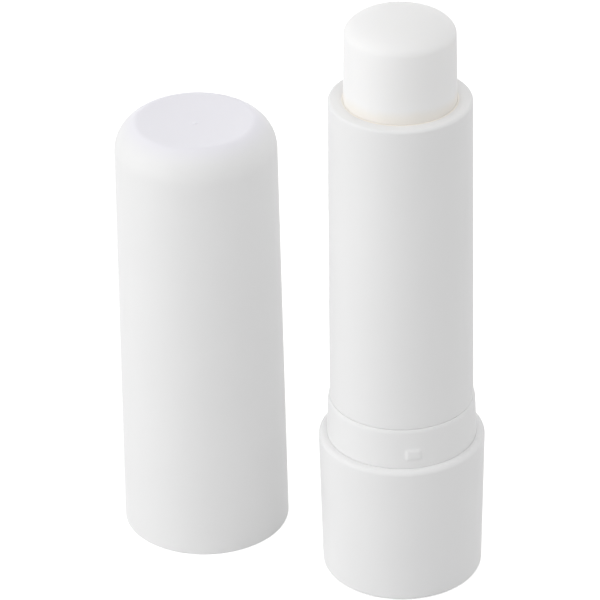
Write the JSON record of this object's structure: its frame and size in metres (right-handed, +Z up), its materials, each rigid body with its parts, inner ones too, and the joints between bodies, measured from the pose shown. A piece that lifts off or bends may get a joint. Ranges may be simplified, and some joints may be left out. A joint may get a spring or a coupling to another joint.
{
  "type": "lip balm stick",
  "caption": "Twist-up lip balm stick: a round tube turns in a short base and drives a domed balm up a screw, with its tall dished cap standing beside it.",
  "frame": {"origin": "centre of the turn base's foot, on the stick's axis and on the surface that it stands on", "axes": "+Z up along the stick's axis towards the balm; the pictured side faces -Y, and the cap stands beside the stick towards -X and +Y"},
  "size_m": [0.0412, 0.0293, 0.0692],
  "materials": {
    "base_plastic": "white moulded plastic with a satin skin",
    "collar_plastic": "white moulded plastic with a satin skin",
    "tube_plastic": "white moulded plastic with a satin skin",
    "cap_plastic": "white moulded plastic with a satin skin, faintly cool",
    "mechanism_plastic": "natural white moulded plastic",
    "balm_wax": "smooth white wax, slightly translucent"
  },
  "bodies": {
    "base": {"base_shell": "base_plastic", "collar": "collar_plastic", "drive_screw": "mechanism_plastic"},
    "barrel": {"tube": "tube_plastic"},
    "carriage": {"elevator": "mechanism_plastic", "balm": "balm_wax"},
    "cap": {"cap": "cap_plastic"}
  },
  "joints": [
    {"name": "tube_turn", "type": "hinge", "parent": "base", "child": "barrel", "pos_m": [0, 0, 0], "axis": [0, 0, 1], "range_deg": [-945, 2708]},
    {"name": "balm_rise", "type": "slide", "parent": "barrel", "child": "carriage", "axis": [0, 0, 1], "range_m": [-0.01051, 0.0301]},
    {"name": "cap_lift", "type": "slide", "parent": "base", "child": "cap", "axis": [0, 0, 1], "range_m": [0, 0.08]}
  ],
  "couplings": [
    {"joint": "balm_rise", "follows": "tube_turn", "m_per_rad": 0.00063662}
  ]
}
